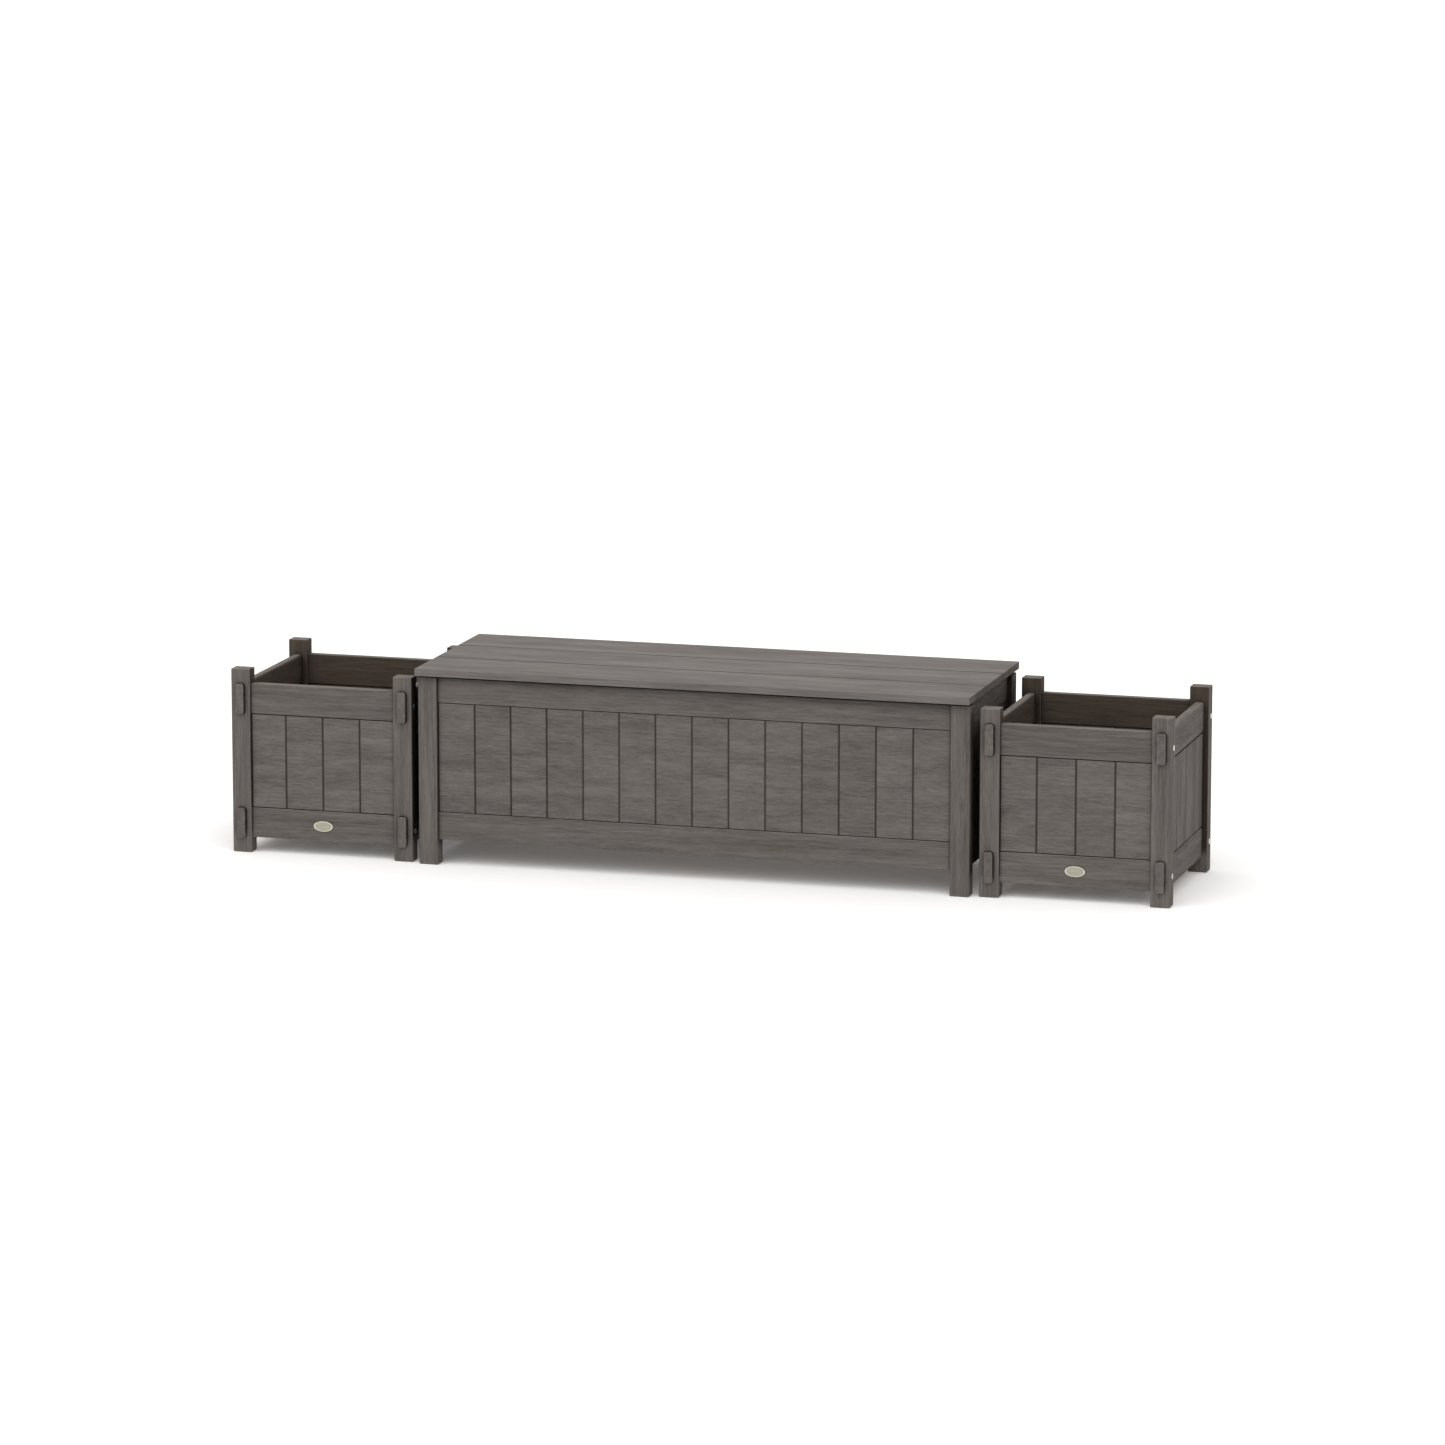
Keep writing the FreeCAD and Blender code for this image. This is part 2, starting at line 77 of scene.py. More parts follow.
def mathNode(tree, operation, *values):
    return addNode(tree, "ShaderNodeMath", dict(enumerate(values)), operation=operation).outputs[0]


def newMaterial(name):
    material = bpy.data.materials.new(name)
    material.use_nodes = True
    material.node_tree.nodes.clear()
    return material, material.node_tree


def seenDirectly(tree):  # 1 for what the viewer sees, also in metal or glass
    path = addNode(tree, "ShaderNodeLightPath")
    shiny = mathNode(tree, "MAXIMUM", path.outputs["Is Glossy Ray"], path.outputs["Is Transmission Ray"])
    return mathNode(tree, "MAXIMUM", path.outputs["Is Camera Ray"], shiny)


def makeCamera():
    data = bpy.data.cameras.new("photoCamera")
    data.lens = cameraView["lens"]
    data.sensor_width = cameraView["filmWidth"]
    data.clip_end = 200.0
    camera = bpy.data.objects.new("photoCamera", data)
    camera.location = cameraView["place"]
    camera.rotation_euler = (math.radians(90.0 - cameraView["dip"]), 0.0, math.radians(cameraView["turn"]))
    bpy.context.scene.collection.objects.link(camera)
    bpy.context.scene.camera = camera


def makeLight():
    lamp = bpy.data.lights.new("softLamp", "SUN")
    lamp.energy = studioLight["lampStrength"]
    lamp.color = studioLight["lampColour"]
    lamp.angle = math.radians(studioLight["lampSpread"])
    holder = bpy.data.objects.new("softLamp", lamp)
    holder.rotation_euler = (
        math.radians(studioLight["lampTiltFront"]),
        math.radians(studioLight["lampTiltSide"]),
        0.0,
    )
    bpy.context.scene.collection.objects.link(holder)
    world = bpy.data.worlds.new("studioWorld")
    world.use_nodes = True
    bpy.context.scene.world = world
    tree = world.node_tree
    tree.nodes.clear()
    white = addNode(tree, "ShaderNodeBackground", {"Color": (1.0, 1.0, 1.0, 1.0), "Strength": 1.0})
    sky = addNode(tree, "ShaderNodeBackground", {
        "Color": (*studioLight["skyColour"], 1.0), "Strength": studioLight["skyStrength"]})
    mixed = addNode(tree, "ShaderNodeMixShader", {0: seenDirectly(tree), 1: sky.outputs[0], 2: white.outputs[0]})
    addNode(tree, "ShaderNodeOutputWorld", {"Surface": mixed.outputs[0]})


def makeFloor():
    half = studioFloor["halfSize"]
    mesh = bpy.data.meshes.new("studioFloor")
    mesh.from_pydata([(-half, -half, 0), (half, -half, 0), (half, half, 0), (-half, half, 0)], [], [(0, 1, 2, 3)])
    floor = bpy.data.objects.new("studioFloor", mesh)
    bpy.context.scene.collection.objects.link(floor)
    material, tree = newMaterial("paleFloor")
    bounce = addNode(tree, "ShaderNodeBsdfDiffuse", {"Color": (*studioFloor["bounceColour"], 1.0)})
    lit = addNode(tree, "ShaderNodeBsdfDiffuse", {"Color": (*studioFloor["shownColour"], 1.0)})
    glow = addNode(tree, "ShaderNodeEmission", {
        "Color": (*studioFloor["glowColour"], 1.0), "Strength": studioFloor["shownGlow"]})
    shown = addNode(tree, "ShaderNodeAddShader", {0: lit.outputs[0], 1: glow.outputs[0]})
    mixed = addNode(tree, "ShaderNodeMixShader", {0: seenDirectly(tree), 1: bounce.outputs[0], 2: shown.outputs[0]})
    addNode(tree, "ShaderNodeOutputMaterial", {"Surface": mixed.outputs[0]})
    mesh.materials.append(material)


makeCamera()
makeLight()
makeFloor()
bpy.context.scene.view_settings.view_transform = "Standard"
print("stage: camera, light and floor")

# Shared shader groups

layout = {"benchEnd": 0.655, "planterX": 0.88475, "planterY": 0.008}  # metres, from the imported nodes

shadeRule = {
    "feet": (0.034, 0.062),  # heights between which the shade in the joints sets in
    "crevice": (0.2, 0.88),  # occlusion from dark to clear
    "gap": (0.1, 0.46),
    "arris": (0.995, 0.86),  # cosine of the turn over an edge
    "patches": (0.38, 0.6),  # where the wear breaks up
    "groove": (0.75, 1.25),  # in parts of its width
    "inwards": (0.04, 0.08),  # metres towards the middle of a box
}


def newGroup(name, inputs, outputs):
    tree = bpy.data.node_groups.new(name, "ShaderNodeTree")
    for label, kind, value in inputs:
        socket = tree.interface.new_socket(label, in_out="INPUT", socket_type="NodeSocket" + kind)
        if value is not None:
            socket.default_value = value
    for label, kind in outputs:
        tree.interface.new_socket(label, in_out="OUTPUT", socket_type="NodeSocket" + kind)
    return tree, tree.nodes.new("NodeGroupInput"), tree.nodes.new("NodeGroupOutput")


def remap(tree, value, low, high, toLow=0.0, toHigh=1.0, smooth=False):
    kind = "SMOOTHSTEP" if smooth else "LINEAR"
    return addNode(tree, "ShaderNodeMapRange", {
        "Value": value, "From Min": low, "From Max": high, "To Min": toLow, "To Max": toHigh,
    }, interpolation_type=kind).outputs["Result"]


def blendColour(tree, mode, factor, first, second):
    mixed = addNode(tree, "ShaderNodeMix", {0: factor, 6: first, 7: second}, data_type="RGBA", blend_type=mode)
    return mixed.outputs[2]


def noiseAt(tree, vector, scale, detail, roughness=0.55):
    return addNode(tree, "ShaderNodeTexNoise", {
        "Vector": vector, "Scale": scale, "Detail": detail, "Roughness": roughness,
    }).outputs["Fac"]


def aboveFeet(tree, place):  # 0 on the feet, which the pale floor lights
    height = addNode(tree, "ShaderNodeSeparateXYZ", {0: place}).outputs[2]
    return remap(tree, height, *shadeRule["feet"], smooth=True)


def makePieceSeed():  # a random value for each board, post or rail, from the cell of space that it stands in
    tree, given, result = newGroup("pieceSeed", [
        ("Vector", "Vector", None),
        ("Cell", "Vector", (1.0, 1.0, 1.0)),
        ("Centre", "Vector", (0.0, 0.0, 0.0)),
        ("Half Count", "Float", 50.0),
    ], [("Random", "Color"), ("Tone", "Float")])
    moved = addNode(tree, "ShaderNodeVectorMath", {0: given.outputs["Vector"], 1: given.outputs["Centre"]},
                    operation="SUBTRACT")
    scaled = addNode(tree, "ShaderNodeVectorMath", {0: moved.outputs[0], 1: given.outputs["Cell"]},
                     operation="DIVIDE")
    whole = addNode(tree, "ShaderNodeVectorMath", {0: scaled.outputs[0]}, operation="FLOOR")
    lowest = mathNode(tree, "MULTIPLY", given.outputs["Half Count"], -1.0)
    highest = mathNode(tree, "SUBTRACT", given.outputs["Half Count"], 1.0)
    bottom = addNode(tree, "ShaderNodeVectorMath", {0: whole.outputs[0], 1: lowest}, operation="MAXIMUM")
    kept = addNode(tree, "ShaderNodeVectorMath", {0: bottom.outputs[0], 1: highest}, operation="MINIMUM")
    noise = addNode(tree, "ShaderNodeTexWhiteNoise", {"Vector": kept.outputs[0]}, noise_dimensions="3D")
    tree.links.new(noise.outputs["Color"], result.inputs["Random"])
    tree.links.new(noise.outputs["Value"], result.inputs["Tone"])
    return tree


def makeGrooveMask():  # 1 in the vee between two boards of one panel
    tree, given, result = newGroup("grooveMask", [
        ("Across", "Float", 0.0),
        ("Pitch", "Float", 0.09),
        ("Centre", "Float", 0.0),
        ("Half Count", "Float", 2.0),
        ("Width", "Float", 0.002),
    ], [("Mask", "Float")])
    step = mathNode(tree, "DIVIDE", mathNode(tree, "SUBTRACT", given.outputs["Across"], given.outputs["Centre"]),
                    given.outputs["Pitch"])
    most = mathNode(tree, "SUBTRACT", given.outputs["Half Count"], 1.0)
    nearest = mathNode(tree, "MINIMUM", mathNode(tree, "ROUND", step), most)
    nearest = mathNode(tree, "MAXIMUM", nearest, mathNode(tree, "MULTIPLY", most, -1.0))
    away = mathNode(tree, "ABSOLUTE", mathNode(tree, "SUBTRACT", step, nearest))
    away = mathNode(tree, "MULTIPLY", away, given.outputs["Pitch"])
    inside = mathNode(tree, "DIVIDE", away, given.outputs["Width"])
    tree.links.new(remap(tree, inside, *shadeRule["groove"], 1.0, 0.0, True), result.inputs["Mask"])
    return tree


def makeEdgeWearAndHighlight():  # 1 on arrises, broken up by noise; the lighter colour there is partly worn edges and partly a painted highlight
    tree, given, result = newGroup("edgeWearAndHighlight", [
        ("Vector", "Vector", None),
        ("Radius", "Float", 0.003),
        ("Breakup", "Float", 60.0),
    ], [("Mask", "Float")])
    rounded = addNode(tree, "ShaderNodeBevel", {"Radius": given.outputs["Radius"]}, samples=4)
    surface = addNode(tree, "ShaderNodeNewGeometry")
    turn = addNode(tree, "ShaderNodeVectorMath", {0: rounded.outputs[0], 1: surface.outputs["Normal"]},
                   operation="DOT_PRODUCT")
    edge = remap(tree, turn.outputs["Value"], *shadeRule["arris"], smooth=True)
    patch = remap(tree, noiseAt(tree, given.outputs["Vector"], given.outputs["Breakup"], 3.0), *shadeRule["patches"])
    tree.links.new(mathNode(tree, "MULTIPLY", edge, patch), result.inputs["Mask"])
    return tree


def makeCreviceShade():  # painted shade: 1 deep in joints and gaps, where little light comes
    tree, given, result = newGroup("creviceShade", [
        ("Vector", "Vector", None),
        ("Reach", "Float", 0.04),
        ("Gap Reach", "Float", 0.12),
    ], [("Mask", "Float"), ("Gap", "Float")])
    raised = aboveFeet(tree, given.outputs["Vector"])
    around = addNode(tree, "ShaderNodeAmbientOcclusion", {"Distance": given.outputs["Reach"]}, samples=8)
    mask = remap(tree, around.outputs["AO"], *shadeRule["crevice"], 1.0, 0.0)
    tree.links.new(mathNode(tree, "MULTIPLY", mask, raised), result.inputs["Mask"])
    further = addNode(tree, "ShaderNodeAmbientOcclusion", {"Distance": given.outputs["Gap Reach"]}, samples=4)
    gap = remap(tree, further.outputs["AO"], *shadeRule["gap"], 1.0, 0.0)
    tree.links.new(mathNode(tree, "MULTIPLY", gap, raised), result.inputs["Gap"])
    return tree


def makePaintedInsideShade():  # 1 on faces that look into the bench's box or into a planter, where the colour is darkened as painted shade
    tree, given, result = newGroup("paintedInsideShade", [("Vector", "Vector", None), ("Facing", "Vector", None)],
                                   [("Mask", "Float")])
    parts = addNode(tree, "ShaderNodeSeparateXYZ", {0: given.outputs["Vector"]})
    far = mathNode(tree, "GREATER_THAN", mathNode(tree, "ABSOLUTE", parts.outputs[0]), layout["benchEnd"])
    side = mathNode(tree, "SIGN", parts.outputs[0])
    middle = addNode(tree, "ShaderNodeCombineXYZ", {
        0: mathNode(tree, "MULTIPLY", mathNode(tree, "MULTIPLY", side, far), layout["planterX"]),
        1: mathNode(tree, "MULTIPLY", far, layout["planterY"])})
    flat = addNode(tree, "ShaderNodeCombineXYZ", {0: parts.outputs[0], 1: parts.outputs[1]})
    inwards = addNode(tree, "ShaderNodeVectorMath", {0: middle.outputs[0], 1: flat.outputs[0]}, operation="SUBTRACT")
    turn = addNode(tree, "ShaderNodeVectorMath", {0: inwards.outputs[0], 1: given.outputs["Facing"]},
                   operation="DOT_PRODUCT")
    mask = mathNode(tree, "MULTIPLY", remap(tree, turn.outputs["Value"], *shadeRule["inwards"]),
                    aboveFeet(tree, given.outputs["Vector"]))
    tree.links.new(mask, result.inputs["Mask"])
    return tree


grainRule = {
    "cloudShare": 0.36,
    "streakShare": 0.38,
    "fineShare": 0.26,
    "darkest": 0.36,
    "lightest": 0.64,
    "ringsPerMetre": 900.0,  # in radians
    "ringShare": 0.06,
    "ringWander": 0.03,
    "knotCore": (0.02, 0.075),  # radii in parts of a cell
    "knotHalo": (0.06, 0.2),
    "dashes": (0.68, 0.78),
}


def makeTimberGrain():  # grain runs along X of the vector that is given
    tree, given, result = newGroup("timberGrain", [
        ("Vector", "Vector", None),
        ("Seed", "Vector", (0.0, 0.0, 0.0)),
        ("Cloud Length", "Float", 0.08),
        ("Cloud Height", "Float", 0.03),
        ("Streak Length", "Float", 0.03),
        ("Streak Height", "Float", 0.004),
        ("Knots", "Float", 0.3),
    ], [("Tone", "Float"), ("Marks", "Float"), ("Height", "Float"), ("Warmth", "Float"), ("Rings", "Float")])
    jump = addNode(tree, "ShaderNodeVectorMath", {0: given.outputs["Seed"], 3: 9.0}, operation="SCALE")
    spot = addNode(tree, "ShaderNodeVectorMath", {0: given.outputs["Vector"], 1: jump.outputs[0]}, operation="ADD")

    def stretched(along, across):
        size = addNode(tree, "ShaderNodeCombineXYZ", {0: along, 1: across, 2: across})
        return addNode(tree, "ShaderNodeVectorMath", {0: spot.outputs[0], 1: size.outputs[0]},
                       operation="MULTIPLY").outputs[0]

    def over(top, label):
        return mathNode(tree, "DIVIDE", top, given.outputs[label])

    cloud = noiseAt(tree, stretched(over(1.0, "Cloud Length"), over(1.0, "Cloud Height")), 1.0, 2.0)
    streak = noiseAt(tree, stretched(over(1.0, "Streak Length"), over(1.0, "Streak Height")), 1.0, 3.0, 0.6)
    fine = noiseAt(tree, stretched(over(3.5, "Streak Length"), over(3.5, "Streak Height")), 1.0, 2.0, 0.6)
    pores = noiseAt(tree, stretched(60.0, 1300.0), 1.0, 2.0)
    patches = noiseAt(tree, stretched(7.0, 9.0), 1.0, 2.0)
    tone = mathNode(tree, "ADD", mathNode(tree, "MULTIPLY", cloud, grainRule["cloudShare"]),
                    mathNode(tree, "MULTIPLY", streak, grainRule["streakShare"]))
    tone = mathNode(tree, "ADD", tone, mathNode(tree, "MULTIPLY", fine, grainRule["fineShare"]))
    tone = remap(tree, tone, grainRule["darkest"], grainRule["lightest"])
    # growth rings round a pith beside the board
    parts = addNode(tree, "ShaderNodeSeparateXYZ", {0: spot.outputs[0]})
    drift = mathNode(tree, "SUBTRACT", noiseAt(tree, stretched(3.0, 14.0), 1.0, 2.0), 0.5)
    wander = mathNode(tree, "MULTIPLY", drift, grainRule["ringWander"])
    flat = addNode(tree, "ShaderNodeCombineXYZ", {
        0: mathNode(tree, "SUBTRACT", mathNode(tree, "PINGPONG", parts.outputs[1], 0.09), 0.05),
        1: mathNode(tree, "SUBTRACT", mathNode(tree, "PINGPONG", parts.outputs[2], 0.11), 0.06),
    })
    far = addNode(tree, "ShaderNodeVectorMath", {0: flat.outputs[0]}, operation="LENGTH")
    reach = mathNode(tree, "ADD", far.outputs["Value"], wander)
    rings = mathNode(tree, "SINE", mathNode(tree, "MULTIPLY", reach, grainRule["ringsPerMetre"]))
    tone = mathNode(tree, "ADD", tone, mathNode(tree, "MULTIPLY", rings, grainRule["ringShare"]))
    # small knots, and the short dark dashes of open pores
    cells = addNode(tree, "ShaderNodeTexVoronoi", {"Vector": stretched(8.0, 14.0), "Scale": 1.0}, feature="F1")
    chance = addNode(tree, "ShaderNodeSeparateColor", {0: cells.outputs["Color"]})
    here = mathNode(tree, "LESS_THAN", chance.outputs[0], given.outputs["Knots"])
    ragged = mathNode(tree, "MULTIPLY", mathNode(tree, "SUBTRACT", fine, 0.5), 0.16)
    away = mathNode(tree, "ADD", cells.outputs["Distance"], ragged)
    core = remap(tree, away, *grainRule["knotCore"], 0.75, 0.0, True)
    halo = remap(tree, away, *grainRule["knotHalo"], 0.35, 0.0, True)
    knots = mathNode(tree, "MULTIPLY", mathNode(tree, "MAXIMUM", core, halo), here)
    dashes = remap(tree, noiseAt(tree, stretched(40.0, 420.0), 1.0, 2.0, 0.5), *grainRule["dashes"], smooth=True)
    marks = mathNode(tree, "MAXIMUM", knots, mathNode(tree, "MULTIPLY", dashes, 0.5))
    height = mathNode(tree, "SUBTRACT", mathNode(tree, "MULTIPLY", tone, 0.6), mathNode(tree, "MULTIPLY", marks, 0.8))
    height = mathNode(tree, "ADD", height, mathNode(tree, "MULTIPLY", pores, 0.6))
    bands = remap(tree, rings, -1.0, 1.0)
    for label, value in (("Tone", tone), ("Marks", marks), ("Height", height), ("Warmth", patches), ("Rings", bands)):
        tree.links.new(value, result.inputs[label])
    return tree


pieceSeed = makePieceSeed()
grooveMask = makeGrooveMask()
edgeWearAndHighlight = makeEdgeWearAndHighlight()
creviceShade = makeCreviceShade()
paintedInsideShade = makePaintedInsideShade()
timberGrain = makeTimberGrain()


# Timber

# in each finish, the multiplier for faces that look up or down is painted light, the one for faces inside a box is
# painted shade, and the lighter arris colour is partly wear and partly a painted highlight
stain = {
    "board": {"light": (0.200, 0.182, 0.169), "dark": (0.106, 0.0965, 0.0897), "mark": (0.045, 0.037, 0.031),
              "warm": (1.015, 1.0, 0.985), "wornAndHighlit": (0.32, 0.30, 0.285), "wearAndHighlight": 0.25, "pieceShift": 0.05,
              "cloudLength": 0.18, "cloudHeight": 0.030, "streakLength": 0.027, "streakHeight": 0.0040,
              "knots": 0.12, "roughness": 0.7, "bump": 0.3, "crevice": 0.9, "creviceReach": 0.045,
              "end": (0.9, 0.9, 0.9), "level": (1.3, 1.3, 1.3), "inside": (0.555, 0.483, 0.433)},
    "frame": {"light": (0.196, 0.1775, 0.165), "dark": (0.099, 0.0908, 0.0846), "mark": (0.045, 0.037, 0.031),
              "warm": (1.015, 1.0, 0.985), "wornAndHighlit": (0.34, 0.32, 0.305), "wearAndHighlight": 0.4, "pieceShift": 0.05,
              "cloudLength": 0.30, "cloudHeight": 0.022, "streakLength": 0.06, "streakHeight": 0.0036,
              "knots": 0.05, "roughness": 0.7, "bump": 0.3, "crevice": 0.9, "creviceReach": 0.045,
              "end": (1.02, 1.02, 1.02), "level": (1.42, 1.42, 1.42), "inside": (0.57, 0.495, 0.444)},
    "lid": {"light": (0.234, 0.216, 0.205), "dark": (0.128, 0.119, 0.113), "mark": (0.08, 0.07, 0.065),
            "warm": (1.015, 1.0, 0.985), "wornAndHighlit": (0.32, 0.30, 0.285), "wearAndHighlight": 0.25, "pieceShift": 0.04,
            "cloudLength": 0.35, "cloudHeight": 0.05, "streakLength": 0.14, "streakHeight": 0.0045,
            "knots": 0.02, "roughness": 0.7, "bump": 0.25, "crevice": 0.85, "creviceReach": 0.03,
            "end": (0.82, 0.81, 0.80), "level": (1.19, 1.19, 1.19), "inside": (1.0, 1.0, 1.0)},
    "inner": {"light": (0.200, 0.170, 0.145), "dark": (0.120, 0.100, 0.085), "mark": (0.045, 0.036, 0.030),
              "warm": (1.06, 1.0, 0.94), "wornAndHighlit": (0.24, 0.21, 0.18), "wearAndHighlight": 0.2, "pieceShift": 0.14,
              "cloudLength": 0.12, "cloudHeight": 0.02, "streakLength": 0.08, "streakHeight": 0.004,
              "knots": 0.12, "roughness": 0.78, "bump": 0.5, "crevice": 0.8, "creviceReach": 0.03,
              "end": (0.8, 0.8, 0.8), "level": (1.0, 1.0, 1.0), "inside": (1.0, 1.0, 1.0)},
}

timberRule = {
    "warmth": (0.35, 0.65),
    "endGrain": (0.75, 0.95),  # cosine between the face and the grain
    "endRings": 0.16,
    "ringColour": (0.6, 0.58, 0.56, 1.0),
    "upright": (0.3, 0.8),  # cosine between the face and straight up or down
    "shadeColour": (0.012, 0.010, 0.009, 1.0),
    "bumpHeight": 0.0004,
    "shine": 0.04,
}

grainAxes = {"x": (0, 1, 2), "y": (1, 0, 2), "z": (2, 0, 1)}


def timberMaterial(name, look, grain, cell, centre=(0.0, 0.0, 0.0), halfCount=50.0, grooves=()):
    finish = stain[look]
    material, tree = newMaterial(name)
    coordinates = addNode(tree, "ShaderNodeTexCoord")
    place = coordinates.outputs["Object"]
    axes = addNode(tree, "ShaderNodeSeparateXYZ", {0: place})
    turned = addNode(tree, "ShaderNodeCombineXYZ", {
        row: axes.outputs[column] for row, column in enumerate(grainAxes[grain])})
    seed = addNode(tree, "ShaderNodeGroup", node_tree=pieceSeed)
    tree.links.new(place, seed.inputs["Vector"])
    seed.inputs["Cell"].default_value = cell
    seed.inputs["Centre"].default_value = centre
    seed.inputs["Half Count"].default_value = halfCount
    grainField = addNode(tree, "ShaderNodeGroup", node_tree=timberGrain)
    tree.links.new(turned.outputs[0], grainField.inputs["Vector"])
    tree.links.new(seed.outputs["Random"], grainField.inputs["Seed"])
    for label, key in (("Cloud Length", "cloudLength"), ("Cloud Height", "cloudHeight"),
                       ("Streak Length", "streakLength"), ("Streak Height", "streakHeight"), ("Knots", "knots")):
        grainField.inputs[label].default_value = finish[key]
    colour = blendColour(tree, "MIX", grainField.outputs["Tone"], (*finish["dark"], 1.0), (*finish["light"], 1.0))
    warmth = remap(tree, grainField.outputs["Warmth"], *timberRule["warmth"])
    colour = blendColour(tree, "MULTIPLY", warmth, colour, (*finish["warm"], 1.0))
    shift = remap(tree, seed.outputs["Tone"], 0.0, 1.0, 1.0 - finish["pieceShift"], 1.0 + finish["pieceShift"])
    tint = addNode(tree, "ShaderNodeCombineColor", {0: shift, 1: shift, 2: shift})
    colour = blendColour(tree, "MULTIPLY", 1.0, colour, tint.outputs[0])
    # end grain, on the faces that look along the grain
    facing = addNode(tree, "ShaderNodeSeparateXYZ", {0: coordinates.outputs["Normal"]})
    across = mathNode(tree, "ABSOLUTE", facing.outputs[grainAxes[grain][0]])
    ends = remap(tree, across, *timberRule["endGrain"], smooth=True)
    cut = blendColour(tree, "MULTIPLY", 1.0, colour, (*finish["end"], 1.0))
    ringed = mathNode(tree, "MULTIPLY", grainField.outputs["Rings"], timberRule["endRings"])
    cut = blendColour(tree, "MULTIPLY", ringed, cut, timberRule["ringColour"])
    colour = blendColour(tree, "MIX", ends, colour, cut)
    # painted light: faces that look up or down are made lighter than the wood's own colour
    level = remap(tree, mathNode(tree, "ABSOLUTE", facing.outputs[2]), *timberRule["upright"], smooth=True)
    colour = blendColour(tree, "MULTIPLY", level, colour, (*finish["level"], 1.0))
    # painted shade: faces inside a box are darkened and browned
    within = addNode(tree, "ShaderNodeGroup", node_tree=paintedInsideShade)
    tree.links.new(place, within.inputs["Vector"])
    tree.links.new(coordinates.outputs["Normal"], within.inputs["Facing"])
    colour = blendColour(tree, "MULTIPLY", within.outputs["Mask"], colour, (*finish["inside"], 1.0))
    # lighter arrises: partly worn edges, partly a painted highlight
    wearAndHighlight = addNode(tree, "ShaderNodeGroup", node_tree=edgeWearAndHighlight)
    tree.links.new(place, wearAndHighlight.inputs["Vector"])
    wornAndHighlit = mathNode(tree, "MULTIPLY", wearAndHighlight.outputs["Mask"], finish["wearAndHighlight"])
    colour = blendColour(tree, "MIX", wornAndHighlit, colour, (*finish["wornAndHighlit"], 1.0))
    dark = grainField.outputs["Marks"]
    for groove in grooves:
        lines = addNode(tree, "ShaderNodeGroup", node_tree=grooveMask)
        distance = axes.outputs["XYZ".index(groove["axis"])]
        if groove["mirrored"]:
            distance = mathNode(tree, "ABSOLUTE", distance)
        tree.links.new(distance, lines.inputs["Across"])
        for label, key in (("Pitch", "pitch"), ("Centre", "centre"), ("Half Count", "halfCount"), ("Width", "width")):
            lines.inputs[label].default_value = groove[key]
        dark = mathNode(tree, "MAXIMUM", dark, mathNode(tree, "MULTIPLY", lines.outputs["Mask"], groove["depth"]))
    colour = blendColour(tree, "MIX", dark, colour, (*finish["mark"], 1.0))
    # painted shade: the colour is darkened towards shadeColour in joints and narrow gaps
    shade = addNode(tree, "ShaderNodeGroup", node_tree=creviceShade)
    tree.links.new(place, shade.inputs["Vector"])
    shade.inputs["Reach"].default_value = finish["creviceReach"]
    deep = mathNode(tree, "MULTIPLY", shade.outputs["Mask"], finish["crevice"])
    deep = mathNode(tree, "MAXIMUM", deep, shade.outputs["Gap"])
    colour = blendColour(tree, "MULTIPLY", deep, colour, timberRule["shadeColour"])
    rough = remap(tree, grainField.outputs["Tone"], 0.0, 1.0, finish["roughness"] + 0.08, finish["roughness"] - 0.06)
    bump = addNode(tree, "ShaderNodeBump", {
        "Height": grainField.outputs["Height"], "Distance": timberRule["bumpHeight"], "Strength": finish["bump"]})
    shader = addNode(tree, "ShaderNodeBsdfPrincipled", {
        "Base Color": colour, "Roughness": rough, "Normal": bump.outputs[0],
        "Specular IOR Level": timberRule["shine"]})
    addNode(tree, "ShaderNodeOutputMaterial", {"Surface": shader.outputs[0]})
    return material


# Sizes of the panels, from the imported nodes
pitches = {"bench": 0.0857, "benchEnd": 0.091, "planter": 0.0893, "floor": 1.203 / 14, "slat": 0.086875,
           "batten": 0.44}
lidPlank = 0.157
lidJoint = 0.07833
endless = 50.0  # longer than the whole set
cellWidth = 0.13  # each cell holds one piece
postCell = (cellWidth, cellWidth, endless)
railCell = (1.3, cellWidth, 0.29)
sideRailCell = (cellWidth, endless, 0.29)
railCentre = (-railCell[0] / 2, 0.0, 0.0)


def groovesAlong(axis, pitch, centre, halfCount, width=0.0022, depth=0.6, mirrored=False):
    return {"axis": axis, "pitch": pitch, "centre": centre, "halfCount": halfCount, "width": width, "depth": depth,
            "mirrored": mirrored}


benchEnds = groovesAlong("Z", 0.2545, 0.122, 2.0, width=0.0016, depth=0.7)  # where boards meet rails
planterEnds = groovesAlong("Z", 0.22, 0.105, 2.0, width=0.0022, depth=0.9)

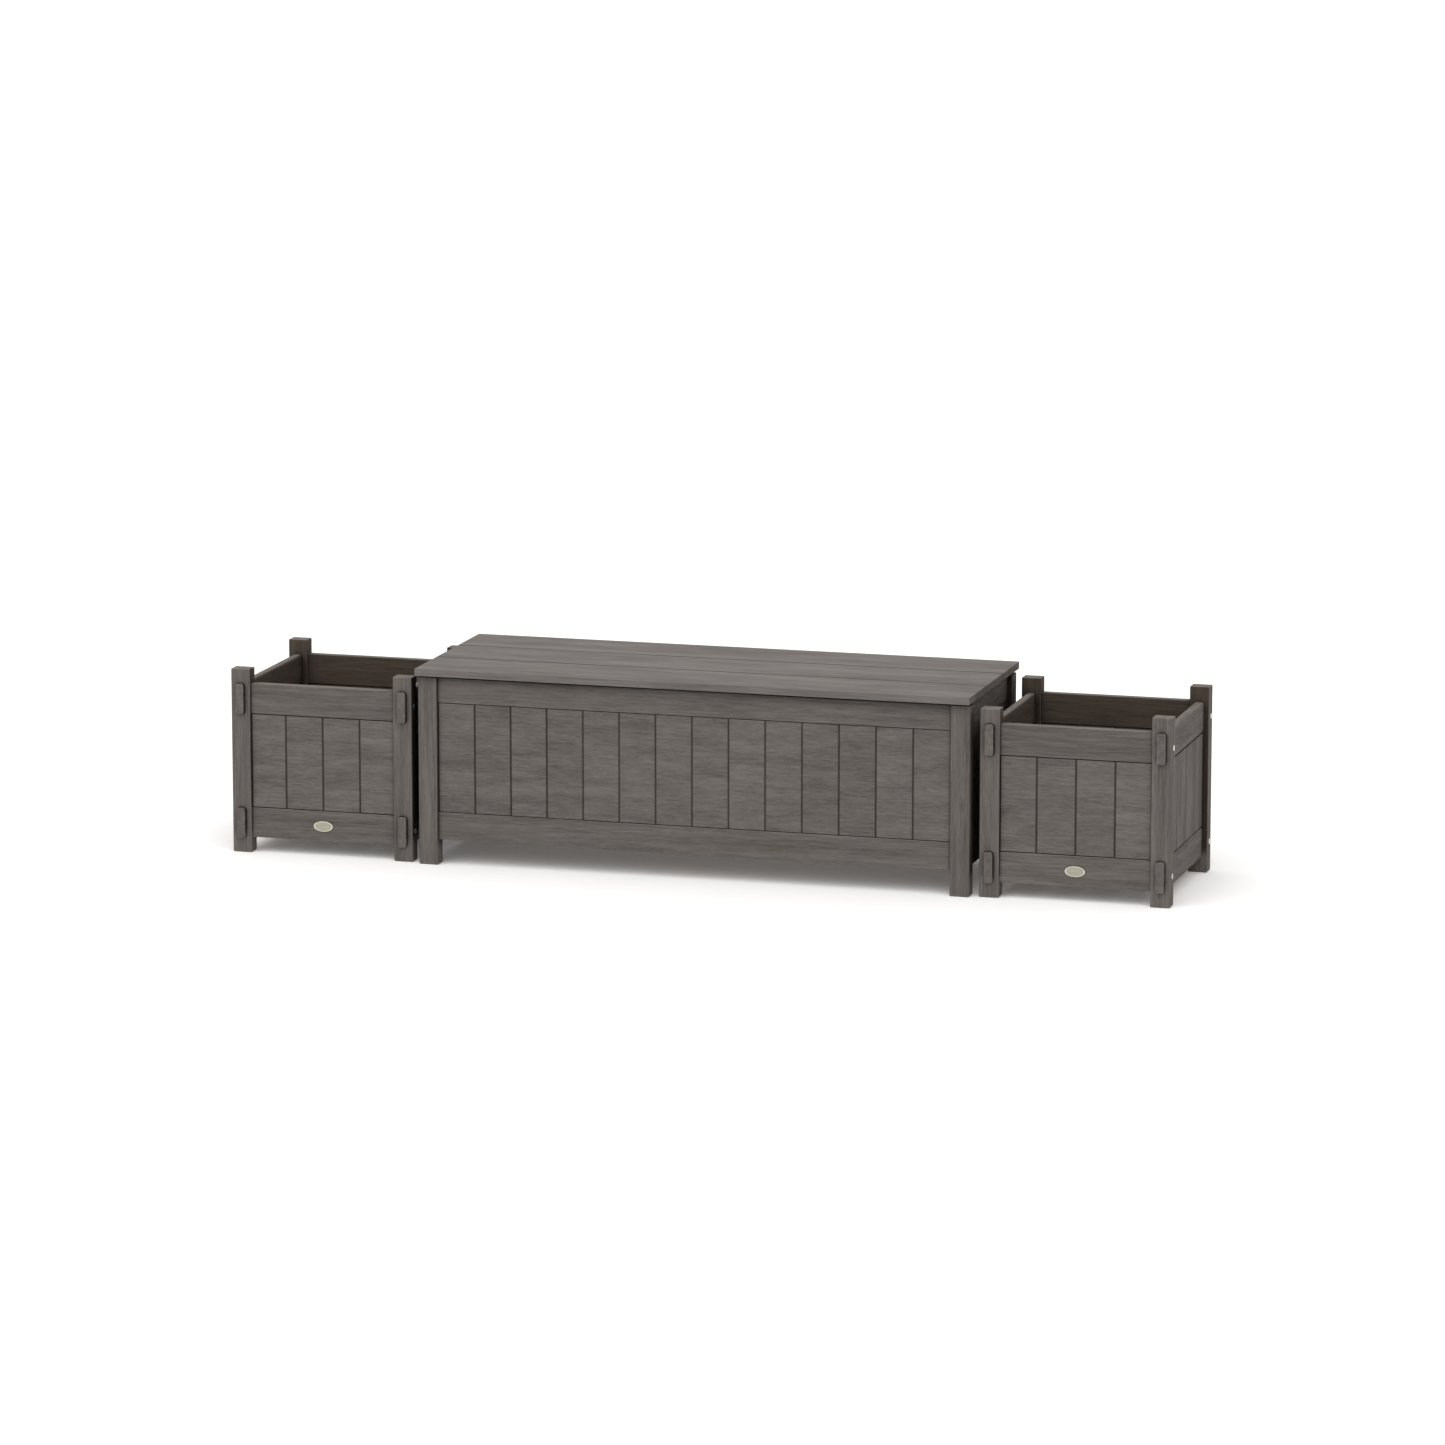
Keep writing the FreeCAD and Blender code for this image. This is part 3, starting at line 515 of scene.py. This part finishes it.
timbers = {
    "postTimber": timberMaterial("postTimber", "frame", "z", postCell, centre=(0.0, 0.0, -endless / 2)),
    "railTimber": timberMaterial("railTimber", "frame", "x", railCell, centre=railCentre),
    "sideRailTimber": timberMaterial("sideRailTimber", "frame", "y", sideRailCell, centre=(0.0, -endless / 2, 0.0)),
    "benchBoards": timberMaterial(
        "benchBoards", "board", "x", (pitches["bench"], cellWidth, endless),
        centre=(0.0, 0.0, -endless / 2), halfCount=7.0,
        grooves=[groovesAlong("X", pitches["bench"], 0.0, 7.0, width=0.0028, depth=0.5), benchEnds]),
    "benchEndBoards": timberMaterial(
        "benchEndBoards", "board", "z", (cellWidth, pitches["benchEnd"], endless), centre=(0.0, 0.0, -endless / 2),
        grooves=[groovesAlong("Y", pitches["benchEnd"], 0.0, 2.0), benchEnds]),
    "planterSideBoards": timberMaterial(
        "planterSideBoards", "board", "z", (cellWidth, pitches["planter"], endless),
        centre=(0.0, layout["planterY"], -endless / 2),
        grooves=[groovesAlong("Y", pitches["planter"], layout["planterY"], 2.0), planterEnds]),
    "lidTimber": timberMaterial(
        "lidTimber", "lid", "x", (endless, lidPlank, endless),
        centre=(-endless / 2, -1.5 * lidPlank, -endless / 2),
        grooves=[groovesAlong("Y", 1.0, lidJoint, 1.0, width=0.004, depth=0.7, mirrored=True)]),
    "floorTimber": timberMaterial(
        "floorTimber", "inner", "y", (pitches["floor"], endless, endless),
        centre=(0.0, -endless / 2, -endless / 2)),
    "battenTimber": timberMaterial(
        "battenTimber", "inner", "y", (pitches["batten"], endless, endless),
        centre=(-pitches["batten"] / 2, -endless / 2, -endless / 2)),
    "cleatTimber": timberMaterial("cleatTimber", "inner", "x", railCell, centre=railCentre),
}
for sideName, side in (("left", -1.0), ("right", 1.0)):
    middle = side * layout["planterX"]
    timbers[sideName + "PlanterBoards"] = timberMaterial(
        sideName + "PlanterBoards", "board", "x", (pitches["planter"], cellWidth, endless),
        centre=(middle, 0.0, -endless / 2), halfCount=2.0,
        grooves=[groovesAlong("X", pitches["planter"], middle, 2.0, width=0.0028, depth=0.62), planterEnds])
    timbers[sideName + "Slats"] = timberMaterial(
        sideName + "Slats", "inner", "y", (pitches["slat"], endless, endless),
        centre=(middle, -endless / 2, -endless / 2))
print("stage: timber materials,", len(timbers))

# Metal and rubber

metals = {
    "boltSteel": {"light": (0.78, 0.78, 0.77), "dark": (0.5, 0.5, 0.5), "roughness": 0.34, "brush": 900.0,
                  "scratch": 0.25, "crevice": 0.9},
    "hingeSteel": {"light": (0.62, 0.62, 0.60), "dark": (0.36, 0.36, 0.35), "roughness": 0.42, "brush": 700.0,
                   "scratch": 0.3, "crevice": 0.8},
    "plaqueMetal": {"light": (0.435, 0.413, 0.334), "dark": (0.32, 0.30, 0.236), "roughness": 0.42, "brush": 1200.0,
                    "scratch": 0.2, "crevice": 0.2, "rim": (0.66, 0.65, 0.57)},
}

metalRule = {
    "stainScale": 160.0,
    "tone": (0.35, 0.62),
    "wearAndHighlight": 0.5,
    "wearRadius": 0.0006,
    "wearBreakup": 400.0,
    "creviceReach": 0.02,
    "gap": 0.9,
    "shadeColour": (0.05, 0.05, 0.05, 1.0),
    "bumpHeight": 0.0001,
}

rubber = {"light": (0.045, 0.045, 0.045), "dark": (0.02, 0.02, 0.02), "roughness": 0.8, "dustScale": 900.0,
          "bump": 0.3, "bumpHeight": 0.0002, "shine": 0.3}

plaqueShape = {"height": 0.070, "halfWidth": 0.023, "halfHeight": 0.012, "rim": (0.84, 0.9)}


def plaqueRim(tree, place):  # 1 on the raised rim of either oval
    parts = addNode(tree, "ShaderNodeSeparateXYZ", {0: place})
    side = mathNode(tree, "SUBTRACT", mathNode(tree, "ABSOLUTE", parts.outputs[0]), layout["planterX"])
    rise = mathNode(tree, "SUBTRACT", parts.outputs[2], plaqueShape["height"])
    oval = addNode(tree, "ShaderNodeCombineXYZ", {
        0: mathNode(tree, "DIVIDE", side, plaqueShape["halfWidth"]),
        1: mathNode(tree, "DIVIDE", rise, plaqueShape["halfHeight"])})
    reach = addNode(tree, "ShaderNodeVectorMath", {0: oval.outputs[0]}, operation="LENGTH")
    return remap(tree, reach.outputs["Value"], *plaqueShape["rim"], smooth=True)


def metalMaterial(name):
    finish = metals[name]
    material, tree = newMaterial(name)
    place = addNode(tree, "ShaderNodeTexCoord").outputs["Object"]
    brushed = addNode(tree, "ShaderNodeMapping", {
        "Vector": place, "Scale": (finish["brush"] * 0.03, finish["brush"], finish["brush"])}).outputs[0]
    lines = noiseAt(tree, brushed, 1.0, 2.0)
    stains = noiseAt(tree, place, metalRule["stainScale"], 4.0, 0.6)
    tone = mathNode(tree, "ADD", mathNode(tree, "MULTIPLY", lines, 0.5), mathNode(tree, "MULTIPLY", stains, 0.5))
    tone = remap(tree, tone, *metalRule["tone"])
    wearAndHighlight = addNode(tree, "ShaderNodeGroup", node_tree=edgeWearAndHighlight)
    wearAndHighlight.inputs["Radius"].default_value = metalRule["wearRadius"]
    wearAndHighlight.inputs["Breakup"].default_value = metalRule["wearBreakup"]
    tree.links.new(place, wearAndHighlight.inputs["Vector"])
    colour = blendColour(tree, "MIX", tone, (*finish["dark"], 1.0), (*finish["light"], 1.0))
    wornAndHighlit = mathNode(tree, "MULTIPLY", wearAndHighlight.outputs["Mask"], metalRule["wearAndHighlight"])
    colour = blendColour(tree, "MIX", wornAndHighlit, colour, (*[min(1.0, part * 1.2) for part in finish["light"]], 1.0))
    # painted shade: the metal colour is darkened in joints and narrow gaps
    shade = addNode(tree, "ShaderNodeGroup", node_tree=creviceShade)
    tree.links.new(place, shade.inputs["Vector"])
    shade.inputs["Reach"].default_value = metalRule["creviceReach"]
    deep = mathNode(tree, "MAXIMUM", mathNode(tree, "MULTIPLY", shade.outputs["Mask"], finish["crevice"]),
                    mathNode(tree, "MULTIPLY", shade.outputs["Gap"], metalRule["gap"]))
    colour = blendColour(tree, "MULTIPLY", deep, colour, metalRule["shadeColour"])
    if "rim" in finish:
        colour = blendColour(tree, "MIX", plaqueRim(tree, place), colour, (*finish["rim"], 1.0))
    rough = remap(tree, stains, 0.3, 0.7, finish["roughness"] - 0.08, finish["roughness"] + 0.12)
    bump = addNode(tree, "ShaderNodeBump", {
        "Height": lines, "Distance": metalRule["bumpHeight"], "Strength": finish["scratch"]})
    shader = addNode(tree, "ShaderNodeBsdfPrincipled", {
        "Base Color": colour, "Roughness": rough, "Metallic": 1.0, "Normal": bump.outputs[0]})
    addNode(tree, "ShaderNodeOutputMaterial", {"Surface": shader.outputs[0]})
    return material


def rubberMaterial():
    material, tree = newMaterial("bumperRubber")
    place = addNode(tree, "ShaderNodeTexCoord").outputs["Object"]
    dust = noiseAt(tree, place, rubber["dustScale"], 4.0, 0.7)
    colour = blendColour(tree, "MIX", dust, (*rubber["dark"], 1.0), (*rubber["light"], 1.0))
    rough = remap(tree, dust, 0.3, 0.7, rubber["roughness"] - 0.1, rubber["roughness"] + 0.1)
    bump = addNode(tree, "ShaderNodeBump", {
        "Height": dust, "Distance": rubber["bumpHeight"], "Strength": rubber["bump"]})
    shader = addNode(tree, "ShaderNodeBsdfPrincipled", {
        "Base Color": colour, "Roughness": rough, "Normal": bump.outputs[0], "Specular IOR Level": rubber["shine"]})
    addNode(tree, "ShaderNodeOutputMaterial", {"Surface": shader.outputs[0]})
    return material


fittings = {name: metalMaterial(name) for name in metals}
fittings["bumperRubber"] = rubberMaterial()
print("stage: metal and rubber materials")


def materialFor(node):
    if node.endswith(("_leg", "_post")):
        return timbers["postTimber"]
    if node.endswith("_plank"):
        return timbers["lidTimber"]
    if node == "lid_battens":
        return timbers["battenTimber"]
    if node == "lid_bumpers":
        return fittings["bumperRubber"]
    if node.startswith("hinge"):
        return fittings["hingeSteel"]
    if node.endswith("bolts"):
        return fittings["boltSteel"]
    if node.endswith("plaque"):
        return fittings["plaqueMetal"]
    if node == "bench_floor_boards":
        return timbers["floorTimber"]
    if node.endswith("cleats"):
        return timbers["cleatTimber"]
    owner = node.split("_")[0]
    if node.endswith("slats"):
        return timbers[owner + "Slats"]
    face = node.removeprefix("left_planter_").removeprefix("right_planter_").removeprefix("bench_").split("_")[0]
    facesViewer = face in ("front", "back")
    if node.endswith("boards"):
        if owner == "bench":
            return timbers["benchBoards" if facesViewer else "benchEndBoards"]
        return timbers[owner + "PlanterBoards"] if facesViewer else timbers["planterSideBoards"]
    return timbers["railTimber" if facesViewer else "sideRailTimber"]


for nodeName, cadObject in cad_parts.items():
    cadObject.data.materials.clear()
    cadObject.data.materials.append(materialFor(nodeName))
print("stage: materials on the packed nodes")

# Screws in the hinges, the lid's battens and the floors

screwShape = {
    "Head Radius": 0.0034, "Shank Radius": 0.0017, "Head Height": 0.0024, "Proud": 0.0003, "Recess Radius": 0.0019,
    "Recess Depth": 0.0011, "Lobe Depth": 0.32, "Seed": 7,
}

screwPlaces = {  # metres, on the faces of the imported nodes
    "hingeSpacing": 0.44, "hingeHole": 0.025, "leafMiddle": 0.2005, "frameLeafTop": 0.4358, "lidLeafUnder": 0.4392,
    "battenUnder": 0.4225, "battenHole": 0.018, "plankPitch": 0.15667, "plankHole": 0.042,
    "floorTop": 0.096, "floorHole": 0.181, "floorBoards": 14, "boardHole": 0.024,
    "slatTop": 0.074, "slatHole": 0.177, "slats": 4,
}


def makeScrewTree():  # a countersunk screw with a six-lobed recess on each point, facing up or down
    tree = bpy.data.node_groups.new("screwHeads", "GeometryNodeTree")
    face = tree.interface
    face.new_socket("Geometry", in_out="INPUT", socket_type="NodeSocketGeometry")
    for label, value in screwShape.items():
        kind = "NodeSocketInt" if label == "Seed" else "NodeSocketFloat"
        face.new_socket(label, in_out="INPUT", socket_type=kind).default_value = value
    face.new_socket("Material", in_out="INPUT", socket_type="NodeSocketMaterial")
    face.new_socket("Geometry", in_out="OUTPUT", socket_type="NodeSocketGeometry")
    given = tree.nodes.new("NodeGroupInput").outputs
    result = tree.nodes.new("NodeGroupOutput")
    cone = addNode(tree, "GeometryNodeMeshCone", {
        "Vertices": 24, "Radius Top": given["Head Radius"], "Radius Bottom": given["Shank Radius"],
        "Depth": given["Head Height"]}, fill_type="NGON")
    upright = addNode(tree, "ShaderNodeSeparateXYZ", {0: addNode(tree, "GeometryNodeInputNormal").outputs[0]})
    top = addNode(tree, "FunctionNodeCompare", {0: upright.outputs["Z"], 1: 0.9}, operation="GREATER_THAN")
    inset = addNode(tree, "GeometryNodeExtrudeMesh", {
        "Mesh": cone.outputs["Mesh"], "Selection": top.outputs[0], "Offset Scale": 0.0})
    share = mathNode(tree, "DIVIDE", given["Recess Radius"], given["Head Radius"])
    mouth = addNode(tree, "GeometryNodeScaleElements", {
        "Geometry": inset.outputs["Mesh"], "Selection": inset.outputs["Top"], "Scale": share})
    place = addNode(tree, "GeometryNodeInputPosition").outputs[0]
    number = addNode(tree, "GeometryNodeInputIndex").outputs[0]
    parts = addNode(tree, "ShaderNodeSeparateXYZ", {0: place})
    turn = mathNode(tree, "ARCTAN2", parts.outputs["Y"], parts.outputs["X"])
    lobes = mathNode(tree, "COSINE", mathNode(tree, "MULTIPLY", turn, 6.0))
    wave = mathNode(tree, "ADD", mathNode(tree, "MULTIPLY", lobes, 0.5), -0.5)
    pull = mathNode(tree, "MULTIPLY", wave, given["Lobe Depth"])
    flat = addNode(tree, "ShaderNodeVectorMath", {0: place, 1: (1.0, 1.0, 0.0)}, operation="MULTIPLY")
    shove = addNode(tree, "ShaderNodeVectorMath", {0: flat.outputs[0], 3: pull}, operation="SCALE")
    lobed = addNode(tree, "GeometryNodeSetPosition", {
        "Geometry": mouth.outputs[0], "Selection": inset.outputs["Top"], "Offset": shove.outputs[0]})
    sunk = addNode(tree, "GeometryNodeExtrudeMesh", {
        "Mesh": lobed.outputs[0], "Selection": inset.outputs["Top"],
        "Offset Scale": mathNode(tree, "MULTIPLY", given["Recess Depth"], -1.0)})
    seated = addNode(tree, "GeometryNodeTransform", {
        "Geometry": sunk.outputs["Mesh"],
        "Translation": addNode(tree, "ShaderNodeCombineXYZ", {
            2: mathNode(tree, "SUBTRACT", given["Proud"], given["Head Height"])}).outputs[0]})
    facing = addNode(tree, "GeometryNodeInputNamedAttribute", {"Name": "facing"}, data_type="FLOAT")
    flip = mathNode(tree, "MULTIPLY", mathNode(tree, "LESS_THAN", facing.outputs["Attribute"], 0.0), math.pi)
    spin = addNode(tree, "FunctionNodeRandomValue", {2: 0.0, 3: math.tau, "ID": number, "Seed": given["Seed"]},
                   data_type="FLOAT")
    turned = addNode(tree, "ShaderNodeCombineXYZ", {0: flip, 2: spin.outputs[1]})
    placed = addNode(tree, "GeometryNodeInstanceOnPoints", {
        "Points": given["Geometry"], "Instance": seated.outputs[0], "Rotation": turned.outputs[0]})
    realised = addNode(tree, "GeometryNodeRealizeInstances", {0: placed.outputs[0]})
    coloured = addNode(tree, "GeometryNodeSetMaterial", {0: realised.outputs[0], "Material": given["Material"]})
    tree.links.new(coloured.outputs[0], result.inputs[0])
    return tree


def screwsOn(name, body, points, material):
    mesh = bpy.data.meshes.new(name + "Points")
    mesh.from_pydata([point[:3] for point in points], [], [])
    mesh.attributes.new("facing", "FLOAT", "POINT").data.foreach_set("value", [point[3] for point in points])
    holder = bpy.data.objects.new(name + "Points", mesh)
    bpy.context.scene.collection.objects.link(holder)
    modifier = holder.modifiers.new("screwHeads", "NODES")
    modifier.node_group = screwTree
    for socket in screwTree.interface.items_tree:
        if socket.in_out == "INPUT" and socket.name == "Material":
            modifier[socket.identifier] = material
        elif socket.in_out == "INPUT" and socket.name in screwShape:
            modifier[socket.identifier] = screwShape[socket.name]
    made = bpy.data.meshes.new_from_object(holder.evaluated_get(bpy.context.evaluated_depsgraph_get()))
    bpy.data.objects.remove(holder)
    made.name = name
    screws = bpy.data.objects.new(name, made)
    bpy.context.scene.collection.objects.link(screws)
    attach(screws, body)


def screwPoints():
    p = screwPlaces
    hinges = [(step * p["hingeSpacing"] + hole * p["hingeHole"], p["leafMiddle"]) for step in (-1, 0, 1)
              for hole in (-1, 0, 1)]
    bench = [(x, y, p["frameLeafTop"], 1.0) for x, y in hinges]
    middle = (p["floorBoards"] - 1) / 2
    bench += [((board - middle) * pitches["floor"] + hole * p["boardHole"], side * p["floorHole"], p["floorTop"], 1.0)
              for board in range(p["floorBoards"]) for side in (-1, 1) for hole in (-1, 1)]
    lid = [(x, y, p["lidLeafUnder"], -1.0) for x, y in hinges]
    lid += [(step * p["hingeSpacing"] + side * p["battenHole"], plank * p["plankPitch"] + side * p["plankHole"],
             p["battenUnder"], -1.0)
            for step in (-1, 0, 1) for plank in (-1, 0, 1) for side in (-1, 1)
            if abs(plank + side) < 2]  # the battens end before the outermost holes
    planters = {}
    for body, side in (("left_planter", -1), ("right_planter", 1)):
        planters[body] = [(side * layout["planterX"] + (slat - (p["slats"] - 1) / 2) * pitches["slat"],
                           layout["planterY"] + end * p["slatHole"], p["slatTop"], 1.0)
                          for slat in range(p["slats"]) for end in (-1, 1)]
    return {"bench": bench, "lid": lid, **planters}


screwTree = makeScrewTree()
screwNames = {"bench": "benchScrews", "lid": "lidScrews", "left_planter": "leftPlanterScrews",
              "right_planter": "rightPlanterScrews"}
for bodyName, points in screwPoints().items():
    screwsOn(screwNames[bodyName], bodyName, points, fittings["boltSteel"])
    print("stage:", screwNames[bodyName], len(points))
